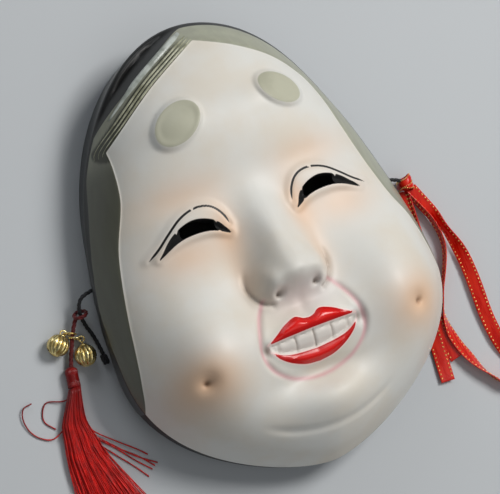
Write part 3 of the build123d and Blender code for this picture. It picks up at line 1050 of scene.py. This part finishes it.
def twisted(parts, line, diameter, closed=False):
    """Strands laid round each other along a line."""
    along = lengths_along(line)
    pitch = TWIST_PITCH * diameter
    turns = along / pitch
    if closed:
        length = along[-1] + np.linalg.norm(line[0] - line[-1])
        turns = max(1, round(length / pitch)) * np.arange(len(line)) / len(line)
    frames = steady_frames(line, closed)
    for strand in range(STRANDS):
        offset = 0.225 * diameter * turned(2 * pi * (turns + strand / STRANDS), *frames)
        parts.add(*tube(line + offset, 0.275 * diameter, 8, closed))


def box_of(node):
    """A CAD node's middle and half size, in millimetres."""
    low, high = [np.array(corner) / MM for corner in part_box(node)]
    return (low + high) / 2, (high - low) / 2


def finished(piece, body, slot, *nodes):
    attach(piece, body)
    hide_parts(*nodes)
    return piece


# ---- cords and knots


def knot_piece(name, material, radius):
    """A tied knot: a trefoil line squeezed into the CAD knot's box."""
    centre, half = box_of(name)
    t = circle(90)
    line = np.array([np.sin(t) + 2 * np.sin(2 * t), -np.sin(3 * t) * 1.4, np.cos(t) - 2 * np.cos(2 * t)]).T
    line = centre + line / np.abs(line).max(axis=0) * (half - radius)
    parts = Parts()
    twisted(parts, line, 2 * radius, closed=True)
    return finished(parts.piece(name + "_tied", material), "mask", "black_cord", name)


def cord_piece(name, route, diameter, body, slot, material):
    """A twisted cord along its route; returns the piece and the line it follows, in metres."""
    line = soft_line(name + "_line", route)
    parts = Parts()
    twisted(parts, evenly(line, 0.16 * diameter), diameter)
    piece = finished(parts.piece(name + "_twisted", material), body, slot, name)
    return piece, [tuple(point * MM) for point in evenly(line, 0.5)]


def make_black_cords():
    yarn = cord_material("black_yarn", srgb(6, 6, 7), srgb(46, 46, 50), sheen=0.12)
    knot_piece("left_stopper_knot", yarn, 0.9)
    knot_piece("right_stopper_knot", yarn, 0.9)
    tail = knot_piece("left_tail_knot", yarn, 0.7)
    left, path = cord_piece("left_cord", LEFT_CORD_ROUTE, BLACK_CORD, "mask", "black_cord", yarn)
    right, _ = cord_piece("right_cord", RIGHT_CORD_ROUTE, BLACK_CORD, "mask", "black_cord", yarn)
    return right


def make_red_cord(tassel_pieces):
    yarn = cord_material("red_yarn", srgb(58, 4, 6), srgb(132, 14, 18))
    centre, _ = box_of("hanging_loop")
    way = unit(np.array(LEFT_CORD_ROUTE[3]) - np.array(LEFT_CORD_ROUTE[2]))
    parts = Parts()
    twisted(parts, centre + EYE_R * turned(circle(64), *around(way)), RED_CORD - 0.2, closed=True)
    eye = finished(parts.piece("hanging_loop_twisted", yarn), "pendant", "red_cord", "hanging_loop")
    cord, path = cord_piece("hanging_cord", HANGING_CORD_ROUTE, RED_CORD, "pendant", "red_cord", yarn)


# ---- ribbon


def band(parts, line, lean):
    """A beaded satin band. Lean turns it from standing on edge to lying flat, in degrees at each point."""
    ways = ways_along(line)
    level = unit(np.cross((0.0, 0.0, 1.0), ways))
    broad = turned(np.radians(lean), np.cross(ways, level), level)
    thin = np.cross(ways, broad)
    section = []
    for face in (1, -1):
        for share in BAND_SHARES[::-face]:
            half_thick = RIBBON_THICK * (0.75 if abs(share) > 0.8 else 0.5)
            section.append((0.5 * RIBBON_SHOWN * share, RIBBON_CUP * (1.0 - share ** 2) + face * half_thick))
    section = np.array(section)
    parts.add(*skin([place + section @ (wide, out) for place, wide, out in zip(line, broad, thin)]))
    places = evenly(line, BEAD_SPACING)
    spots = np.linspace(0, len(line) - 1, len(places)).astype(int)
    for sideways in (0.85 - 0.5 * RIBBON_SHOWN, 0.5 * RIBBON_SHOWN - 0.85):
        for place, spot in list(zip(places, spots))[1:-1]:
            centre = place + sideways * broad[spot] + 0.3 * RIBBON_CUP * thin[spot]
            parts.add(*bead(centre, BAND_BEAD_R), paint=1)


def bead(centre, radius):
    """A small faceted bead of metal thread."""
    points, faces = skin([level_ring(0.87, height, circle(6)) for height in (-0.5, 0.5)],
                         poles=[(0.0, 0.0, -1.0), (0.0, 0.0, 1.0)])
    return centre + radius * np.array(points), faces


def ribbon_piece(name, route, leans, satin, gold):
    """A band whose lean is given at a few shares of its length, as (share, degrees)."""
    line = soft_line(name + "_line", route)
    fine = evenly(line, 0.8)
    lean = np.interp(np.linspace(0.0, 1.0, len(fine)), *zip(*leans))
    kernel = np.hanning(13) / np.hanning(13).sum()
    lean = np.convolve(np.pad(lean, 6, mode="edge"), kernel, mode="valid")
    parts = Parts()
    band(parts, fine, lean)
    piece = finished(parts.piece(name + "_satin", satin, gold), "mask", "red_ribbon", name)
    return piece, [tuple(point * MM) for point in fine]


def make_ribbon():
    satin = satin_material()
    gold = gold_material()
    loop_leans = [(0.0, 66), (0.06, 60), (0.095, 14), (0.12, 8), (0.18, 52), (0.27, 66), (0.38, 62),
                  (0.46, 24), (0.53, 6), (0.60, 56), (0.66, 58), (0.73, 10), (0.92, 4), (1.0, 20)]
    loop, loop_path = ribbon_piece("ribbon_loop", RIBBON_LOOP_ROUTE, loop_leans, satin, gold)
    long_leans = [(0.0, 60), (0.2, 68), (0.45, 40), (0.62, 30), (0.78, 68), (1.0, 86)]
    long, long_path = ribbon_piece("ribbon_tail_long", RIBBON_TAIL_LONG_ROUTE, long_leans, satin, gold)
    short_leans = [(0.0, 30), (0.3, 14), (0.6, 30), (0.8, 64), (1.0, 72)]
    short, short_path = ribbon_piece("ribbon_tail_short", RIBBON_TAIL_SHORT_ROUTE, short_leans, satin, gold)
    knot = ribbon_knot(satin, gold)


def ribbon_knot(satin, gold):
    """Two tight turns of ribbon over a folded core."""
    centre, half = box_of("ribbon_knot")
    parts = Parts()
    t = circle(56)
    shares = np.linspace(-1.0, 1.0, 7)
    section = np.array([(1.9 * share, face * 0.28 - 0.55 * share ** 2)
                        for face in (1, -1) for share in shares[::face]])
    outward = unit(np.array([np.cos(t) / half[0], np.zeros(len(t)), np.sin(t) / half[2]]).T)
    for tilt, shift, size in ((-16.0, -0.7, 0.94), (18.0, 0.8, 1.0)):
        ring_x = size * half[0] * np.cos(t)
        ring_y = shift + np.tan(np.radians(tilt)) * ring_x + 0.25 * np.sin(3 * t)
        ring = centre + np.array([ring_x, ring_y, size * half[2] * np.sin(t)]).T
        broad = np.cross(ways_along(ring, closed=True), outward)
        places = list(zip(ring, broad, outward))
        parts.add(*skin([place + section @ (wide, out) for place, wide, out in places], closed=True))
        for edge in (-1, 1):
            for place, wide, out in places[::2]:
                parts.add(*bead(place + edge * 1.6 * wide - 0.05 * out, KNOT_BEAD_R), paint=1)
    parts.add(*lumpy_core(centre, half * 0.82))
    return finished(parts.piece("ribbon_knot_tied", satin, gold), "mask", "red_ribbon", "ribbon_knot")


def lumpy_core(centre, half):
    """The crumpled ribbon inside the knot."""
    turns = circle(28)
    rings = []
    for polar in pi * np.arange(1, 14) / 14:
        fold = 1.0 + 0.09 * np.sin(5 * turns + 3 * cos(polar)) * sin(polar)
        spots = level_ring(fold * sin(polar), fold * cos(polar), turns)
        rings.append(centre + half * spots[:, (0, 2, 1)])
    top = np.array((0.0, half[1], 0.0))
    return skin(rings, poles=[centre + top, centre - top])


# ---- bells

BELL_R = 4.8
BELL_WALL = 0.5
BELL_LOBES = 11
BELL_ROWS = 36
LOBE_DEPTH = 0.11
SLOT_WIDTH = 0.9        # the slot's round ends are twice as wide
SLOT_REACH = 2.6


def lobed_ball(radius):
    """A melon-ribbed ball about +Z, with its poles left round."""
    turns = circle(BELL_LOBES * 10)
    valley = 1.0 - np.abs(np.cos(BELL_LOBES * turns / 2)) ** 0.8
    rings = []
    for polar in pi - pi * np.arange(1, BELL_ROWS) / BELL_ROWS:
        size = radius * (1.0 - LOBE_DEPTH * valley * soft_step(0.25, 0.75, sin(polar)))
        rings.append(level_ring(size * sin(polar), size * cos(polar), turns))
    return skin(rings, poles=[(0.0, 0.0, -radius), (0.0, 0.0, radius)])


def collar():
    """The little cap on the bell's crown that holds its loop, about -Z."""
    profile = [(0.7, -5.32), (1.2, -5.1), (1.45, -4.75), (1.6, -4.35)]
    return skin([level_ring(radius, height, circle(24)) for radius, height in profile],
                poles=[(0.0, 0.0, -5.35), (0.0, 0.0, -4.2)])


def make_bell(name, brass, steel):
    hinge = next(joint for joint in frame["joints"] if joint["name"] == name + "_swing")
    low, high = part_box(name + "_shell")
    centre = (low + high) / 2
    way = centre - Vector(hinge["pos_m"])
    way.z = 0.0
    way.normalize()
    up = Vector((0.0, 0.0, 1.0))
    turn = Matrix((up, way.cross(up), way)).transposed().to_4x4()
    parts = Parts()
    parts.add(*lobed_ball(BELL_R))
    points, faces = lobed_ball(BELL_R - BELL_WALL)
    parts.add(points, [face[::-1] for face in faces])
    bell = parts.piece(name + "_ribbed", brass)
    for reach in (-SLOT_REACH, SLOT_REACH):
        cut_with(bell, *rod(SLOT_WIDTH, (0.0, reach, 2.0), (0.0, reach, 8.0), 20))
    half = SLOT_WIDTH / 2
    slot = [(-half, -SLOT_REACH), (half, -SLOT_REACH), (half, SLOT_REACH), (-half, SLOT_REACH)]
    cut_with(bell, *prism(slot, 2.0, 8.0))
    smooth_up_to(bell, 40)
    cap = mesh_piece(name + "_cap", *collar(), brass)
    for piece in (bell, cap):
        piece.data.transform(turn)
        piece.data.transform(Matrix.Translation(centre))
    finished(bell, name, "brass", name + "_shell")
    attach(cap, name)
    for node, material in (("_ring", brass), ("_loop", brass), ("_pellet", steel)):
        dress(name + node, material)


def dress(node, material):
    """Gives a CAD node its better material."""
    mesh = frame["nodes"][node].data
    mesh.materials.clear()
    mesh.materials.append(material)
    for polygon in mesh.polygons:
        polygon.use_smooth = True


# ---- tassel

THREADS = 300
THREAD_R = 0.26
TASSEL_HEAD_R = 2.8
HEAD_START = np.array((-91.05, -21.4, 3.3))
HEAD_END = np.array((-92.3, -29.2, 3.3))
HEAD_WAY = unit(HEAD_END - HEAD_START)
HEAD_LENGTH = np.linalg.norm(HEAD_END - HEAD_START)
HEAD_FOLDS = 30
FOLD_R = 0.34
WINDS = 8
WIND_STEPS = 24
WIRE_R = 0.21
STATION_SHARES = (0.0, 0.22, 0.51, 1.0)     # how far down the skirt each station is
TASSEL_STATIONS = [     # place, half width and half height
    (-92.4, -29.9, 2.5, 3.0),
    (-98.2, -43.0, 5.2, 3.2),
    (-98.4, -60.0, 8.8, 3.0),
    (-93.6, -89.0, 15.0, 2.2),
]
STRAYS = [
    [(-94.5, -34.0, 3.2), (-101.0, -43.0, 1.8), (-108.0, -47.0, 0.9), (-113.2, -45.0, 0.7),
     (-116.8, -40.4, 0.8), (-117.8, -34.5, 1.2), (-116.0, -30.4, 1.6), (-112.0, -29.6, 1.4)],
    [(-93.4, -33.0, 3.4), (-99.0, -33.5, 1.6), (-105.4, -31.5, 0.7), (-108.6, -34.5, 0.6),
     (-109.4, -39.0, 0.6), (-106.0, -43.5, 0.6)],
    [(-92.4, -31.0, 3.4), (-95.6, -41.0, 4.0), (-93.6, -49.5, 2.0), (-87.0, -57.0, 0.9),
     (-78.0, -66.5, 0.6), (-69.9, -72.8, 0.6)],
    [(-92.4, -31.0, 3.0), (-95.0, -41.0, 3.6), (-92.8, -50.5, 1.7), (-86.4, -58.4, 0.8),
     (-77.0, -67.0, 0.5), (-71.4, -73.6, 0.5)],
    [(-92.4, -31.0, 2.8), (-95.4, -42.0, 3.2), (-92.6, -51.6, 1.4), (-85.4, -59.6, 0.7),
     (-78.4, -68.6, 0.5), (-73.0, -74.6, 0.5)],
    [(-92.4, -31.0, 3.2), (-95.2, -42.5, 3.4), (-93.0, -52.6, 1.3), (-87.0, -61.5, 0.7),
     (-80.4, -70.0, 0.5), (-75.6, -77.0, 0.5)],
    [(-92.4, -31.0, 3.1), (-94.8, -41.6, 3.7), (-91.6, -49.6, 1.9), (-84.6, -56.6, 1.0),
     (-76.4, -64.0, 0.7), (-72.6, -68.0, 0.6)],
]


def skirt_place(down, side, height):
    """A point of the skirt: how far down (0 to 1), and where in the section (-1 to 1 both ways)."""
    x, y, half_wide, half_high = [np.interp(down, STATION_SHARES, column) for column in zip(*TASSEL_STATIONS)]
    return (x + side * half_wide, y, 0.35 + (1.0 + height) * half_high * (1.0 - 0.35 * down))


def thread_line(rng):
    """One silky thread from the head to its loose end."""
    turn, reach = rng.uniform(0, 2 * pi), rng.uniform(0.0, 1.0) ** 0.5
    side, height = reach * cos(turn), reach * sin(turn)
    end = rng.uniform(0.90, 1.0)
    drift = rng.normal(0.0, 0.10)
    lift = rng.normal(0.0, 0.08)
    wave, phase = rng.uniform(0.0, 0.5), rng.uniform(0, 2 * pi)
    points = []
    for down in np.linspace(0.0, end, 9):
        sideways = side + drift * down ** 1.5
        x, y, z = skirt_place(down, sideways, np.clip(height + lift * down, -1.0, 1.0))
        points.append((x + wave * sin(phase + 5 * down) * down, y, max(z, THREAD_R + 0.05)))
    return through(points, steps=3)


def make_tassel():
    silk = thread_material()
    rng = np.random.default_rng(7)
    parts = Parts()
    for _ in range(THREADS):
        line = thread_line(rng)
        parts.add(*tube(line, THREAD_R * np.linspace(1.0, 0.75, len(line)), 5))
    for stray in STRAYS:
        parts.add(*tube(through(stray, steps=5), THREAD_R * 1.2, 6))
    skirt = finished(parts.piece("tassel_threads", silk), "pendant", "red_thread", "tassel_skirt")
    return [skirt, make_tassel_head(silk), make_tassel_binding(silk)]


def make_tassel_head(silk):
    """Threads folded over the end of the cord and drawn in under the binding."""
    shares = np.linspace(0.0, 1.0, 12)
    waist = 1.0 - 0.16 * hump(shares - 0.55, 0.16)
    radius = (TASSEL_HEAD_R - 0.33) * waist * np.sin(np.minimum(1.0, shares / 0.22 + 0.30) * pi / 2)
    middle = HEAD_START + np.outer((HEAD_LENGTH + 0.6) * shares, HEAD_WAY)
    parts = Parts()
    for out in turned(circle(HEAD_FOLDS), *around(HEAD_WAY)):
        parts.add(*tube(middle + np.outer(radius, out), FOLD_R, 6))
    core = HEAD_START + np.outer(HEAD_LENGTH * np.linspace(0.04, 1.0, 12), HEAD_WAY)
    rounding = np.sin(np.minimum(1.0, np.linspace(0.25, 4.0, 12)) * pi / 2)
    parts.add(*tube(core, (TASSEL_HEAD_R - 0.6) * rounding, 20))
    return finished(parts.piece("tassel_head_folds", silk), "pendant", "red_thread", "tassel_head")


def make_tassel_binding(silk):
    """Thread wound round the head."""
    turns = np.arange(WINDS * WIND_STEPS + 1) / WIND_STEPS
    down = 0.55 * HEAD_LENGTH - WINDS * WIRE_R + 2 * WIRE_R * turns
    line = HEAD_START + np.outer(down, HEAD_WAY)
    line = line + (TASSEL_HEAD_R - 0.15) * turned(2 * pi * turns, *around(HEAD_WAY))
    parts = Parts()
    parts.add(*tube(line, WIRE_R, 6))
    return finished(parts.piece("tassel_winding", silk), "pendant", "red_thread", "tassel_binding")


def make_bells():
    brass = metal_material("bell_brass", srgb(250, 232, 168), srgb(214, 184, 108), 0.24, 0.42)
    steel = metal_material("pellet_steel", srgb(186, 186, 190), srgb(120, 120, 124), 0.25, 0.45)
    for name in ("bell_a", "bell_b"):
        make_bell(name, brass, steel)


make_camera()
black_cord = make_black_cords()
make_ribbon()
make_red_cord(make_tassel())
make_bells()
make_stage()
make_mask()
comb_strands()
